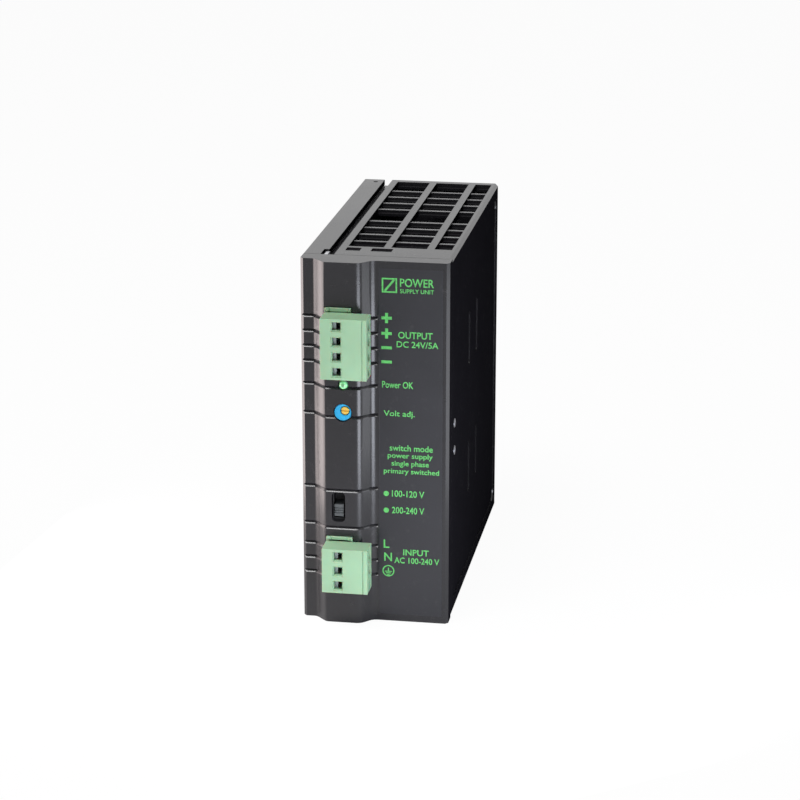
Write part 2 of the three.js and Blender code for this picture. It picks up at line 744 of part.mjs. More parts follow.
function powerLed() {
  const tip = stripFace - led.proud;
  const shoulder = tip + led.radius;
  const base = stripInner + 2.4;
  const profile = [[0, tip]];
  for (const step of [1, 2, 3]) {
    const angle = (step * Math.PI) / 6;
    profile.push([led.radius * Math.sin(angle), shoulder - led.radius * Math.cos(angle)]);
  }
  profile.push([led.radius, base - 1], [led.flange, base - 1], [led.flange, base], [0, base]);
  const x = fromLeft(ledSpot.x);
  const leads = [-1, 1].map((side) =>
    box(
      centred(x + (side * led.leadPitch) / 2, led.leadSide),
      [base - 0.2, frontBoardBack + 0.8],
      centred(ledSpot.z, led.leadSide),
    ),
  );
  return join(turned(profile, x, ledSpot.z, 20), ...leads);
}

const collarFront = stripFace + trimmer.sunk;
const trimmerBodyFront = stripInner + fitGap;

// A square body with a round collar that fills the cover's window.
function trimmerBody() {
  const x = fromLeft(trimmerSpot.x);
  const z = trimmerSpot.z;
  const bore = trimmerScrew.radius + runningGap;
  const across = centred(x, trimmer.side);
  return cut(
    join(
      box(across, [trimmerBodyFront, frontBoardFace - 0.1], centred(z, trimmer.side)),
      bar("y", trimmer.collar, [collarFront, trimmerBodyFront + 0.1], x, z),
    ),
    bar(
      "y",
      bore,
      [collarFront - 1, collarFront + trimmer.pocket],
      x + trimmerScrew.x,
      z + trimmerScrew.z,
    ),
  );
}

// The adjusting screw's axis is the group origin, so it turns in place.
function trimmerRotor() {
  const t = trimmerScrew;
  const front = collarFront + t.sunk;
  return cut(
    bar("y", t.radius, [front, front + t.length], 0, 0),
    box(centred(0, 2 * t.radius + 1), [front - 1, front + 0.7], centred(0, t.slot)),
  );
}

const selectorBodyFront = stripInner + fitGap;

function selectorHousing() {
  const x = fromLeft(selectorSpot.x);
  const z = selectorSpot.z;
  const cavityHigh = selector.travel + selector.knobHigh + 1.4;
  return cut(
    box(
      centred(x, selectorBody.wide),
      [selectorBodyFront, frontBoardFace - 0.1],
      centred(z, selectorBody.high),
    ),
    box(
      centred(x, selector.knobWide + 2 * runningGap),
      [selectorBodyFront - 1, selectorBodyFront + selectorBody.cavityDepth],
      centred(z, cavityHigh),
    ),
  );
}

function selectorSlider() {
  const x = fromLeft(selectorSpot.x);
  const low = selectorSpot.z - (selector.travel + selector.knobHigh) / 2;
  const front = stripFace + selector.sunk;
  const high = [low, low + selector.knobHigh];
  const across = centred(x, selector.knobWide);
  const grips = [0.3, 0.5, 0.7].map((share) =>
    box(across, [front - 1, front + 0.4], centred(low + share * selector.knobHigh, 0.4)),
  );
  return cut(
    box(across, [front, selectorBodyFront + selectorBody.cavityDepth - runningGap], high),
    ...grips,
  );
}

// ---- main board and what it carries ----
function boardPlate() {
  return cut(
    box(
      [mainBoardLeft, mainBoardFace],
      [mainBoard.front, mainBoard.back],
      [mainBoard.low, mainBoard.high],
    ),
    ...standoffs.map(([y, z]) =>
      bar("x", standoff.pin + runningGap, [mainBoardLeft - 1, mainBoardFace + 1], y, z, 12),
    ),
  );
}

const onBoard = mainBoardFace + fitGap;
const secondarySink = { z: caseHeight - 40, along: [58, 106], thick: 2.2 };
const transformer = {
  y: 63.5,
  z: secondarySink.z - 22,
  long: 40,
  tall: 32,
  thick: 18,
  limb: 11,
  yoke: 5.5,
};
const windingRise = 5;

function transformerCore() {
  const t = transformer;
  const bottom = onBoard + 2;
  const x = [bottom, bottom + t.tall];
  const windowX = [x[0] + t.yoke, x[1] - t.yoke];
  const half = t.long / 2;
  const through = centred(t.z, t.thick + 2);
  const feet = box([onBoard, bottom + 0.1], centred(t.y, t.long - 8), centred(t.z, t.thick - 4));
  return join(
    feet,
    cut(
      box(x, centred(t.y, t.long), centred(t.z, t.thick)),
      box(windowX, [t.y - half + t.yoke, t.y - t.limb / 2], through),
      box(windowX, [t.y + t.limb / 2, t.y + half - t.yoke], through),
    ),
  );
}

function transformerWinding() {
  const t = transformer;
  const bottom = onBoard + 2;
  const inner = [bottom + t.yoke + runningGap, bottom + t.tall - t.yoke - runningGap];
  const half = t.long / 2 - t.yoke - runningGap;
  const hole = runningGap * 2;
  return cut(
    box(inner, centred(t.y, 2 * half), centred(t.z, t.thick + 2 * windingRise)),
    box([inner[0] - 1, inner[1] + 1], centred(t.y, t.limb + hole), centred(t.z, t.thick + hole)),
  );
}

function chokeRing() {
  const c = { y: 28, z: 20, inner: 4, outer: 10.5, thick: 12 };
  const half = c.thick / 2;
  const profile = [
    [c.inner, -half + 1],
    [c.inner + 1, -half],
    [c.outer - 2, -half],
    [c.outer, -half + 2],
    [c.outer, half - 2],
    [c.outer - 2, half],
    [c.inner + 1, half],
    [c.inner, half - 1],
    [c.inner, -half + 1],
  ].map(([r, y]) => new THREE.Vector2(r, y));
  const ring = new THREE.LatheGeometry(profile, 24).rotateZ(Math.PI / 2);
  return solid(ring.translate(onBoard + half, c.y, c.z));
}

function standingCan(radius, height, y, z) {
  const groove = height * 0.1;
  const profile = [
    [0, 0],
    [radius, 0],
    [radius, groove],
    [radius - 0.6, groove + 0.6],
    [radius, groove + 1.2],
    [radius, height - 0.6],
    [radius - 0.6, height],
    [0, height],
  ].map(([r, h]) => new THREE.Vector2(r, h));
  const can = new THREE.LatheGeometry(profile, 20).rotateZ(-Math.PI / 2);
  return solid(can.translate(onBoard, y, z));
}

function fuseTube() {
  const centre = onBoard + 3;
  const [low, high] = [36, 56];
  return join(
    bar("z", 2.5, [low, high], centre, 14, 16),
    bar("z", 3, [low, low + 5], centre, 14, 16),
    bar("z", 3, [high - 5, high], centre, 14, 16),
  );
}

const primarySink = { along: [11, 41.4], high: centred(caseHeight / 2, 32), thick: 2.2 };
const bulkCan = { radius: 11, long: 34, heights: [20, 44] };
const outputCan = { radius: 6.25, long: 25, along: [30, 46], fromTop: 24 };

function primaryHeatSink() {
  const p = primarySink;
  const flange = [rightInner - fitGap - p.thick, rightInner - fitGap];
  return cut(
    join(
      box(flange, p.along, p.high),
      box([onBoard, flange[0] + 0.1], [p.along[1] - p.thick, p.along[1]], p.high),
    ),
    ...sideScrew.heights.map((z) =>
      bar("x", smallScrew.radius + 0.1, [flange[0] - 1, flange[1] + 1], sideScrew.y, z),
    ),
  );
}

function secondaryHeatSink() {
  const s = secondarySink;
  const x = [onBoard, rightInner - 1.5];
  const fins = [0, 1, 2, 3].map((i) => {
    const y = s.along[0] + 26 + i * 6.4;
    return box([x[0] + 8, x[1]], [y, y + 1.6], [s.z + s.thick - 0.1, s.z + s.thick + 12]);
  });
  return join(box(x, s.along, [s.z, s.z + s.thick]), ...fins);
}

// A power transistor or rectifier: a moulded block whose three legs go into the board.
function powerDevice(y, z) {
  const legEnd = mainBoardFace - 1;
  const body = [onBoard + 5, onBoard + 25];
  const legs = [-1, 0, 1].map((side) => {
    const lift = side * 4;
    const yy = y[1] - y[0] > 10 ? centred((y[0] + y[1]) / 2 + lift, 1) : centred((y[0] + y[1]) / 2, 1);
    const zz = y[1] - y[0] > 10 ? centred((z[0] + z[1]) / 2, 1) : centred((z[0] + z[1]) / 2 + lift, 1);
    return box([Math.max(legEnd, mainBoardFace + 0.1), body[0] + 0.1], yy, zz);
  });
  return join(box(body, y, z), ...legs);
}

// ---- rail foot ----
function railFoot() {
  const back = railPlane - foot.padRise;
  const front = rear + 0.1;
  const lipFace = railPlane + hook.flange;
  const hookLow = railHeight + railHalf + hook.play;
  const lipLow = railHeight + railHalf - hook.overlap;
  const profile = polygon([
    [front, foot.low],
    [back, foot.low],
    [back, railHeight - padHalf],
    [railPlane, railHeight - padHalf],
    [railPlane, railHeight + padHalf],
    [back, railHeight + padHalf],
    [back, hookLow],
    [lipFace, hookLow],
    [lipFace, lipLow],
    [footRear - 0.8, lipLow],
    [footRear, lipLow + 1.2],
    [footRear, foot.high - 2],
    [footRear - 2, foot.high],
    [front, foot.high],
  ]);
  const lowEnd = [foot.low - 1, latchTop + runningGap];
  const wide = latch.half + latch.ledge + runningGap;
  const narrow = latch.half + runningGap;
  const peg = box(
    centred(0, 2 * spring.windowHalf - 0.8),
    [channelFloor - 0.1, latchBack - 0.2],
    [spring.low + runningGap, spring.low + runningGap + spring.pegHigh],
  );
  const heads = footScrewHeights.map((z) =>
    bar("y", screw.headRadius + fitGap, [railPlane - screw.headLength - 0.2, railPlane + 1], 0, z),
  );
  const bores = footScrewHeights.map((z) => bar("y", screw.bore, [rear - 1, railPlane + 1], 0, z));
  return join(
    cut(
      pushAcross(profile, [-foot.half, foot.half]),
      box([-wide, wide], [channelFloor, ledgeBack + runningGap], lowEnd),
      box([-narrow, narrow], [channelFloor, railPlane + 1], lowEnd),
      ...heads,
      ...bores,
    ),
    peg,
  );
}

const padHalf = railHalf - hook.overlap - 0.3;
const channelFloor = rear + 0.1 + 1.2;
const latchFront = channelFloor + runningGap;
const ledgeBack = latchFront + 1.2;
const latchBack = latchFront + latch.thick;
const latchTop = railHeight - railHalf - hook.play;

function railLatch() {
  const lipFace = railPlane + hook.flange;
  const lipTopZ = railHeight - railHalf + hook.overlap;
  const blade = join(
    box([-latch.half, latch.half], [latchFront, latchBack], [latch.low, latchTop]),
    box(
      [-latch.half - latch.ledge, latch.half + latch.ledge],
      [latchFront, ledgeBack],
      [foot.low + 4, latchTop],
    ),
  );
  const nose = pushAcross(
    polygon([
      [latchBack - 0.1, latchTop - latch.nose],
      [footRear - 1.5, latchTop - latch.nose],
      [footRear, latchTop - latch.nose + 1.5],
      [footRear, lipTopZ - 1.4],
      [footRear - 0.8, lipTopZ],
      [lipFace, lipTopZ],
      [lipFace, latchTop],
      [latchBack - 0.1, latchTop],
    ]),
    [-latch.half, latch.half],
  );
  const half = spring.windowHalf;
  return cut(
    join(blade, nose),
    box([-half, half], [latchFront - 1, latchBack + 0.001], [spring.low, spring.high]),
    box(centred(0, 6.4), [latchFront - 1, latchBack + 1], [8.2, 11]),
  );
}

// The latch spring as a helix between the foot's peg and the top of the latch's window.
class Helix extends THREE.Curve {
  constructor(radius, turns, low, high, y) {
    super();
    Object.assign(this, { radius, turns, low, high, y });
  }
  getPoint(t, target = new THREE.Vector3()) {
    const angle = 2 * Math.PI * this.turns * t;
    return target.set(
      this.radius * Math.cos(angle),
      this.y + this.radius * Math.sin(angle),
      this.low + (this.high - this.low) * t,
    );
  }
}

const springLow = spring.low + runningGap + spring.pegHigh + spring.wire / 2 + 0.1;
const springHigh = spring.high - spring.wire / 2 - 0.1;

function latchSpring() {
  const middle = (latchFront + latchBack) / 2;
  const path = new Helix(spring.radius, spring.turns, springLow, springHigh, middle);
  const section = new THREE.Shape();
  section.absarc(0, 0, spring.wire / 2, 0, 2 * Math.PI);
  const g = new THREE.ExtrudeGeometry(section, {
    extrudePath: path,
    steps: spring.turns * 12,
    curveSegments: 3,
    bevelEnabled: false,
  });
  return solid(g);
}

// ---- assembly ----
const device = new THREE.Group();
// The frame's origin is under the middle of the whole device, from plug face to rail hook.
const deviceFront = headerFront + plugFront;
device.position.y = -(deviceFront + footRear) / 2;

piece(device, "housing_shell", shell(), blackPlastic);
piece(device, "side_cover", sideCover(), blackPlastic);
piece(device, "front_cover", frontCover(), blackPlastic);
piece(
  device,
  "front_label",
  box(
    labelX,
    [0, labelRecess.depth],
    labelZ,
  ),
  labelFoil,
);
piece(device, "cover_clip", coverClip(), zincSteel);
coverBoss.heights.forEach((z, i) =>
  piece(
    device,
    `side_cover_screw_${i + 1}`,
    screwAlong("x", coverScrewHead, 1, 6, coverScrewY, z),
    zincSteel,
  ),
);
sideScrew.heights.forEach((z, i) =>
  piece(
    device,
    `heat_sink_screw_${i + 1}`,
    screwAlong("x", sideScrewHead, -1, 3.4, sideScrew.y, z, smallScrew),
    zincSteel,
  ),
);

addTerminal(device, "output", outputTerminal);
addTerminal(device, "input", inputTerminal);
piece(device, "front_board", frontBoard(), circuitBoard);
piece(device, "power_led", powerLed(), greenLens);
piece(device, "trimmer_body", trimmerBody(), bluePlastic);
const rotorMesh = piece(device, "trimmer_rotor", trimmerRotor(), brass);
rotorMesh.position.set(
  fromLeft(trimmerSpot.x) + trimmerScrew.x,
  0,
  trimmerSpot.z + trimmerScrew.z,
);
piece(device, "selector_body", selectorHousing(), switchBlack);
piece(device, "selector_slider", selectorSlider(), switchGrey);

piece(device, "main_board", boardPlate(), circuitBoard);
piece(device, "transformer_core", transformerCore(), ferrite);
piece(device, "transformer_winding", transformerWinding(), windingTape);
piece(device, "line_choke", chokeRing(), copperWire);
const bulkCanY = transformer.y + transformer.long / 2 + bulkCan.radius + 1;
bulkCan.heights.forEach((z, i) => {
  const can = standingCan(bulkCan.radius, bulkCan.long, bulkCanY, z);
  piece(device, `bulk_capacitor_${i + 1}`, can, capacitorSleeve);
});
outputCan.along.forEach((y, i) => {
  const can = standingCan(outputCan.radius, outputCan.long, y, caseHeight - outputCan.fromTop);
  piece(device, `output_capacitor_${i + 1}`, can, capacitorSleeve);
});
piece(
  device,
  "interference_capacitor",
  box([onBoard, onBoard + 16], [46, 72], [12, 24]),
  filmBox,
);
piece(device, "fuse", fuseTube(), glassTube);
piece(device, "primary_heat_sink", primaryHeatSink(), aluminium);
piece(device, "secondary_heat_sink", secondaryHeatSink(), aluminium);
const sinkFace = primarySink.along[1] - primarySink.thick - fitGap;
piece(
  device,
  "switching_transistor",
  powerDevice([sinkFace - 5, sinkFace], centred(caseHeight / 2, 16)),
  switchBlack,
);
const restOn = secondarySink.z + secondarySink.thick + fitGap;
piece(device, "output_rectifier", powerDevice([61, 77], [restOn, restOn + 5]), switchBlack);

piece(device, "rail_foot", railFoot(), blackPlastic);
piece(device, "rail_latch", railLatch(), blackPlastic);
piece(device, "latch_spring", latchSpring(), zincSteel);
footScrewHeights.forEach((z, i) =>
  piece(
    device,
    `rail_foot_screw_${i + 1}`,
    screwAlong("y", railPlane - 0.2, -1, 8, 0, z),
    zincSteel,
  ),
);

const part = new THREE.Group();
part.add(device);
export default part;
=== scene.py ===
import bmesh
import bpy
import json
import math
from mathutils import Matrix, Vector


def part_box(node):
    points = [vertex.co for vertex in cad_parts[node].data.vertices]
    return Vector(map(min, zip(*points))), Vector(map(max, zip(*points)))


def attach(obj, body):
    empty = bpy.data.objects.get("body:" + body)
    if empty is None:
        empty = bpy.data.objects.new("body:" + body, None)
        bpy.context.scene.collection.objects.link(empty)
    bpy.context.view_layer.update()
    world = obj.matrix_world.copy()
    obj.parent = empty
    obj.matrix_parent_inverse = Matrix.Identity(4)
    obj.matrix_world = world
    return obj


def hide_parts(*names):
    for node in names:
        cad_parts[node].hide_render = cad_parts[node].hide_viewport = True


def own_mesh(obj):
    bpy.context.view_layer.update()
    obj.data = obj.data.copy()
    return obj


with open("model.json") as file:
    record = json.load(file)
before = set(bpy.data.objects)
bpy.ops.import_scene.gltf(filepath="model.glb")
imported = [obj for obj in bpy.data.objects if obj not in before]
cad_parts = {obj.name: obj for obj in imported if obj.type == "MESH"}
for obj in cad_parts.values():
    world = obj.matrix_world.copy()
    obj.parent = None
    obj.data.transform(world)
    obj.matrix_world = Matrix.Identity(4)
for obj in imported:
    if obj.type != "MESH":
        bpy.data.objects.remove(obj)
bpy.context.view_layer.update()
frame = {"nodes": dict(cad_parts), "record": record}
nodes = frame["nodes"]
mm = 0.001
perMetre = 1000  # millimetres in a metre
print("frame loaded:", len(nodes), "nodes")


# wraps a node's output, so that shader maths can be written as plain expressions
class Sock:
    def __init__(self, kit, out):
        self.kit = kit
        self.out = out

    def maths(self, operation, a, b=0.0):
        return self.kit.add("ShaderNodeMath", {"operation": operation}, {0: a, 1: b})

    def __add__(self, b):
        return self.maths("ADD", self, b)

    def __radd__(self, a):
        return self.maths("ADD", a, self)

    def __sub__(self, b):
        return self.maths("SUBTRACT", self, b)

    def __rsub__(self, a):
        return self.maths("SUBTRACT", a, self)

    def __mul__(self, b):
        return self.maths("MULTIPLY", self, b)

    def __rmul__(self, a):
        return self.maths("MULTIPLY", a, self)

    def __gt__(self, b):
        return self.maths("GREATER_THAN", self, b)

    def __lt__(self, b):
        return self.maths("LESS_THAN", self, b)


bsdfInputs = {
    "color": "Base Color",
    "rough": "Roughness",
    "metal": "Metallic",
    "normal": "Normal",
    "coat": "Coat Weight",
    "ior": "IOR",
    "glow": "Emission Color",
    "glowStrength": "Emission Strength",
    "deep": "Subsurface Weight",
    "deepReach": "Subsurface Scale",
    "shine": "Specular IOR Level",
}


endings = {"materials": "ShaderNodeOutputMaterial", "worlds": "ShaderNodeOutputWorld"}


# builds the node tree of a new material or world
class Kit:
    def __init__(self, name, kind="materials"):
        self.kind = kind
        self.owner = getattr(bpy.data, kind).new(name)
        self.owner.use_nodes = True
        self.tree = self.owner.node_tree
        self.tree.nodes.clear()

    # one method for any node: its type, its settings first, then its sockets' values or links
    def add(self, kind, settings=None, inputs=None, output=0):
        node = self.tree.nodes.new(kind)
        for key, value in (settings or {}).items():
            if key == "stops":
                ramp = node.color_ramp
                while len(ramp.elements) < len(value):
                    ramp.elements.new(0.5)
                for element, (place, grey) in zip(ramp.elements, value):
                    element.position = place
                    element.color = (grey, grey, grey, 1)
            else:
                setattr(node, key, value)
        for key, value in (inputs or {}).items():
            socket = node.inputs[key]
            if isinstance(value, Sock):
                self.tree.links.new(value.out, socket)
            else:
                socket.default_value = value
        return Sock(self, node.outputs[output])

    # object space is the part's own frame, in metres
    def place(self, axis=None):
        at = self.add("ShaderNodeTexCoord", output="Object")
        if axis is None:
            return at
        return self.add("ShaderNodeSeparateXYZ", {}, {"Vector": at}, output=axis)

    def scaled(self, perMm, stretch=(1, 1, 1), seed=0.0):
        return self.add(
            "ShaderNodeMapping",
            {"vector_type": "POINT"},
            {
                "Vector": self.place(),
                "Scale": [s * perMm * perMetre for s in stretch],
                "Location": (seed, seed * 0.7, seed * 1.3),
            },
        )

    def noise(self, perMm, detail=3, rough=0.55, stretch=(1, 1, 1), seed=0.0):
        return self.add(
            "ShaderNodeTexNoise",
            {"noise_dimensions": "3D"},
            {
                "Vector": self.scaled(perMm, stretch, seed),
                "Scale": 1.0,
                "Detail": detail,
                "Roughness": rough,
            },
        )

    def cells(self, perMm, feature="F1", stretch=(1, 1, 1)):
        return self.add(
            "ShaderNodeTexVoronoi",
            {"feature": feature},
            {"Vector": self.scaled(perMm, stretch), "Scale": 1.0},
        )

    def ramp(self, value, stops):
        return self.add("ShaderNodeValToRGB", {"stops": stops}, {"Fac": value})

    def blend(self, factor, a, b):
        return self.add("ShaderNodeMix", {"data_type": "RGBA"}, {0: factor, 6: a, 7: b}, output=2)

    def bump(self, height, depthMm, strength=1.0, under=None):
        inputs = {"Height": height, "Distance": depthMm * mm, "Strength": strength}
        if under is not None:
            inputs["Normal"] = under
        return self.add("ShaderNodeBump", {}, inputs)

    def surface(self, **sockets):
        inputs = {bsdfInputs[key]: value for key, value in sockets.items()}
        return self.add("ShaderNodeBsdfPrincipled", {}, inputs)

    def finish(self, shader):
        end = self.tree.nodes.new(endings[self.kind])
        self.tree.links.new(shader.out, end.inputs["Surface"])
        return self.owner


def tint(rgb, factor=1.0):
    return (*[min(1.0, c * factor) for c in rgb], 1.0)


# 1 where a face looks along the given axis, either way
def facing(k, axis, over=0.95):
    normal = k.add("ShaderNodeNewGeometry", output="True Normal")
    along = k.add("ShaderNodeSeparateXYZ", {}, {"Vector": normal}, output=axis)
    return k.add("ShaderNodeMath", {"operation": "ABSOLUTE"}, {0: along}) > over


# What every plastic has, unless its own look says otherwise. Cloud, grain and pit count
# features in a millimetre, depths are in millimetres, and deepReach is in metres. mattSides
# is how much of their shine the side walls keep at a low angle, where they are matt.
plasticBase = {
    "cloud": 0.05,
    "grain": 5.0,
    "pit": 2.2,
    "dust": 0.04,
    "dustColor": (0.42, 0.4, 0.38),
    "grainDepth": 0.01,
    "pitDepth": 0.005,
    "ior": 1.49,
    "deep": 0.0,
    "deepReach": 0.0015,
    "mattSides": None,
    "mattRough": 0.85,
    "mattDepth": 0.02,
}


def mouldedPlastic(name, ownLook):
    k = Kit(name)
    look = {**plasticBase, **ownLook}
    cloud = k.noise(look["cloud"], 4)
    grain = k.noise(look["grain"], 2, 0.6)
    pits = k.ramp(k.cells(look["pit"]), [(0.0, 0.0), (0.25, 1.0)])
    dust = k.ramp(k.noise(0.35, 6, 0.7, seed=4.1), [(0.58, 0.0), (0.8, 1.0)])
    scuff = k.ramp(k.noise(0.5, 5, 0.65, (0.15, 1, 1), 9.3), [(0.62, 0.0), (0.7, 1.0)])
    base = k.blend(cloud, tint(look["color"], 0.86), tint(look["color"], 1.14))
    dusty = k.blend(dust * look["dust"], base, tint(look["dustColor"]))
    rough = look["rough"] + (cloud - 0.5) * 0.1 + dust * 0.06
    rough = rough + (grain - 0.5) * 0.08 + scuff * 0.05
    fine = k.bump(grain, look["grainDepth"], 0.6)
    normal = k.bump(pits, look["pitDepth"], 0.35, fine)
    body = {key: look[key] for key in ("ior", "deep", "deepReach")}
    glossy = k.surface(color=dusty, rough=rough, normal=normal, **body)
    if look["mattSides"] is None:
        return k.finish(glossy)
    # an eroded texture takes the side walls' sheen away at a low angle
    coarse = k.bump(k.noise(9, 3, 0.7, seed=2.5), look["mattDepth"], 0.7)
    dull = k.surface(
        color=dusty, rough=look["mattRough"], normal=coarse, shine=look["mattSides"]
    )
    low = k.ramp(k.add("ShaderNodeLayerWeight", output="Facing"), [(0.5, 0.0), (0.75, 1.0)])
    return k.finish(
        k.add("ShaderNodeMixShader", {}, {0: facing(k, "X") * low, 1: glossy, 2: dull})
    )


steelBase = {"lay": (0.15, 1, 1), "stain": (0.32, 0.27, 0.2), "depth": 0.008}


def platedSteel(name, ownLook):
    k = Kit(name)
    look = {**steelBase, **ownLook}
    brushed = k.noise(1.4, 5, 0.6, stretch=look["lay"])
    blot = k.noise(0.3, 4, 0.6, seed=2.0)
    color = k.blend(blot, tint(look["color"], 0.8), tint(look["color"], 1.12))
    stain = k.ramp(k.noise(0.8, 5, 0.7, seed=7.0), [(0.6, 0.0), (0.8, 1.0)])
    stained = k.blend(stain * 0.35, color, tint(look["stain"]))
    rough = look["rough"] + brushed * 0.16 + stain * 0.15
    normal = k.bump(brushed, look["depth"], 0.5)
    return k.finish(k.surface(color=stained, metal=1.0, rough=rough, normal=normal))


laminateLook = {
    "dark": (0.012, 0.075, 0.03),
    "light": (0.02, 0.11, 0.045),
    "track": (0.04, 0.2, 0.07),
    "glass": (0.06, 0.16, 0.06),
    "weavePerMetre": 1800.0,
    "trackDepth": 0.03,
}


def circuitLaminate(name):
    k = Kit(name)
    look = laminateLook
    woven = {"Vector": k.place(), "Scale": look["weavePerMetre"]}
    weave = k.add("ShaderNodeTexChecker", {}, woven, output="Fac")
    cloud = k.noise(0.08, 3)
    tracks = k.ramp(k.cells(0.22, "DISTANCE_TO_EDGE", (1, 1, 0.35)), [(0.05, 1.0), (0.09, 0.0)])
    plain = k.blend(cloud, tint(look["dark"]), tint(look["light"]))
    tracked = k.blend(tracks * 0.6, plain, tint(look["track"]))
    color = k.blend(weave * 0.08, tracked, tint(look["glass"]))
    normal = k.bump(tracks, look["trackDepth"], 0.7)
    return k.finish(k.surface(color=color, rough=0.34 + cloud * 0.12, normal=normal, ior=1.5))


ferriteLook = {"dark": (0.018, 0.017, 0.016), "light": (0.045, 0.043, 0.04), "depth": 0.03}


def ferriteCore(name):
    k = Kit(name)
    look = ferriteLook
    grain = k.noise(6, 4, 0.7)
    chips = k.ramp(k.cells(0.9), [(0.0, 0.0), (0.2, 1.0)])
    color = k.blend(grain, tint(look["dark"]), tint(look["light"]))
    normal = k.bump(grain * 0.6 + chips * 0.4, look["depth"], 0.8)
    return k.finish(k.surface(color=color, rough=0.62 + grain * 0.2, normal=normal))


# rises from 0 over the given length in metres, as steeply as given, and falls back again
def wave(k, value, half, steep):
    return k.add("ShaderNodeMath", {"operation": "PINGPONG"}, {0: value, 1: half}) * steep


tapeLook = {
    "dark": (0.62, 0.4, 0.03),
    "light": (0.78, 0.55, 0.07),
    "edge": (0.35, 0.2, 0.02),
    "layer": (0.0011, 900),
}


def tapeWinding(name):
    k = Kit(name)
    look = tapeLook
    layers = wave(k, k.place("Z"), *look["layer"])
    cloud = k.noise(0.15, 4)
    plain = k.blend(cloud, tint(look["dark"]), tint(look["light"]))
    color = k.blend((layers < 0.12) * 0.5, plain, tint(look["edge"]))
    normal = k.bump(layers, 0.05, 0.4)
    return k.finish(k.surface(color=color, rough=0.28 + cloud * 0.2, coat=0.3, normal=normal))


wireLook = {
    # the colour between the turns is painted shade in the crevices where the turns meet
    "gap": (0.12, 0.03, 0.012),
    "copper": (0.62, 0.22, 0.07),
    "turn": (0.00055, 1800),
    "wander": 0.0006,
    "depth": 0.35,
}


def woundWire(name):
    k = Kit(name)
    look = wireLook
    wander = k.noise(0.1, 2) * look["wander"]
    along = k.place("Y") + wander
    turns = wave(k, along, *look["turn"])
    # each turn darkens into the gap colour at its edges: painted shade between the turns
    color = k.blend(turns, tint(look["gap"]), tint(look["copper"]))
    normal = k.bump(turns, look["depth"], 1.0)
    return k.finish(k.surface(color=color, metal=0.85, rough=0.3, coat=0.5, normal=normal))


sleeveLook = {
    "dark": (0.012, 0.016, 0.03),
    "light": (0.02, 0.026, 0.05),
    "stripe": (0.5, 0.52, 0.55),
    "band": (0.006, 166),
}


def shrinkSleeve(name):
    k = Kit(name)
    look = sleeveLook
    cloud = k.noise(0.25, 4)
    band = wave(k, k.place("Z"), *look["band"])
    plain = k.blend(cloud, tint(look["dark"]), tint(look["light"]))
    color = k.blend((band < 0.12) * 0.5, plain, tint(look["stripe"]))
    normal = k.bump(cloud, 0.05, 0.4)
    return k.finish(k.surface(color=color, rough=0.25 + cloud * 0.15, coat=0.4, normal=normal))


lensBase = {"heart": None, "heartRadii": (0.45, 1.0), "deep": 0.4, "deepReach": 0.001}


def tintedLens(name, ownLook):
    k = Kit(name)
    look = {**lensBase, **ownLook}
    cloud = k.noise(0.8, 2)
    color = k.blend(cloud, tint(look["color"], 0.85), tint(look["color"], 1.1))
    if look["heart"]:  # the chip shows as a darker spot behind the tip
        ends = {0: k.place(), 1: look["heart"]}
        away = k.add("ShaderNodeVectorMath", {"operation": "DISTANCE"}, ends, output="Value")
        inner, outer = look["heartRadii"]
        spot = k.ramp(away * perMetre, [(inner, 1.0), (outer, 0.0)])
        color = k.blend(spot * 0.85, color, tint(look["color"], 0.2))
    return k.finish(
        k.surface(
            color=color,
            rough=0.14 + cloud * 0.08,
            glow=tint(look["color"]),
            glowStrength=look["glow"],
            deep=look["deep"],
            deepReach=look["deepReach"],
            coat=0.5,
            normal=k.bump(k.noise(2.5, 3), 0.004, 0.5),
        )
    )


def printedInk(name, look):
    k = Kit(name)
    grain = k.noise(4, 4, 0.7)
    thin = k.ramp(k.noise(1.2, 3, seed=3.0), [(0.35, 0.0), (0.6, 1.0)])
    color = k.blend(thin, tint(look["color"], 0.82), tint(look["color"], 1.08))
    rough = look["rough"] + grain * 0.15
    return k.finish(k.surface(color=color, rough=rough, normal=k.bump(grain, 0.004, 0.5)))


plastics = {
    "blackPlastic": {"color": (0.0095, 0.009, 0.011), "rough": 0.24, "mattSides": 0.0},
    "labelFoil": {
        "color": (0.011, 0.011, 0.0145),
        "rough": 0.3,
        "grain": 9,
        "grainDepth": 0.006,
        "pitDepth": 0.002,
    },
    "terminalGreen": {
        "color": (0.26, 0.42, 0.265),
        "rough": 0.42,
        "deep": 0.25,
        "dust": 0.03,
        "cloud": 0.09,
    },
    "switchBlack": {"color": (0.006, 0.006, 0.007), "rough": 0.55},
    "switchGrey": {"color": (0.07, 0.075, 0.078), "rough": 0.5, "dust": 0.1},
    "trimmerBlue": {"color": (0.015, 0.34, 0.62), "rough": 0.2, "deep": 0.1},
    "filmBox": {"color": (0.62, 0.42, 0.03), "rough": 0.3},
}
metals = {
    "zinc": {"color": (0.62, 0.63, 0.66), "rough": 0.22},
    "tinned": {"color": (0.7, 0.66, 0.55), "rough": 0.2},
    "brass": {"color": (0.95, 0.62, 0.14), "rough": 0.24},
    "cageSteel": {"color": (0.3, 0.35, 0.35), "rough": 0.38},
    "blackSteel": {"color": (0.2, 0.2, 0.22), "rough": 0.3},
    "aluminium": {"color": (0.7, 0.71, 0.72), "rough": 0.3, "lay": (1, 1, 0.08)},
}
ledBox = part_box("power_led")
ledTip = ((ledBox[0].x + ledBox[1].x) / 2, ledBox[0].y, (ledBox[0].z + ledBox[1].z) / 2)
lenses = {
    "lens": {"color": (0.32, 0.85, 0.4), "glow": 0.12, "heart": ledTip},
    "glass": {"color": (0.75, 0.8, 0.78), "glow": 0.0},
}
mats = {name: mouldedPlastic(name, look) for name, look in plastics.items()}
mats.update({name: platedSteel(name, look) for name, look in metals.items()})
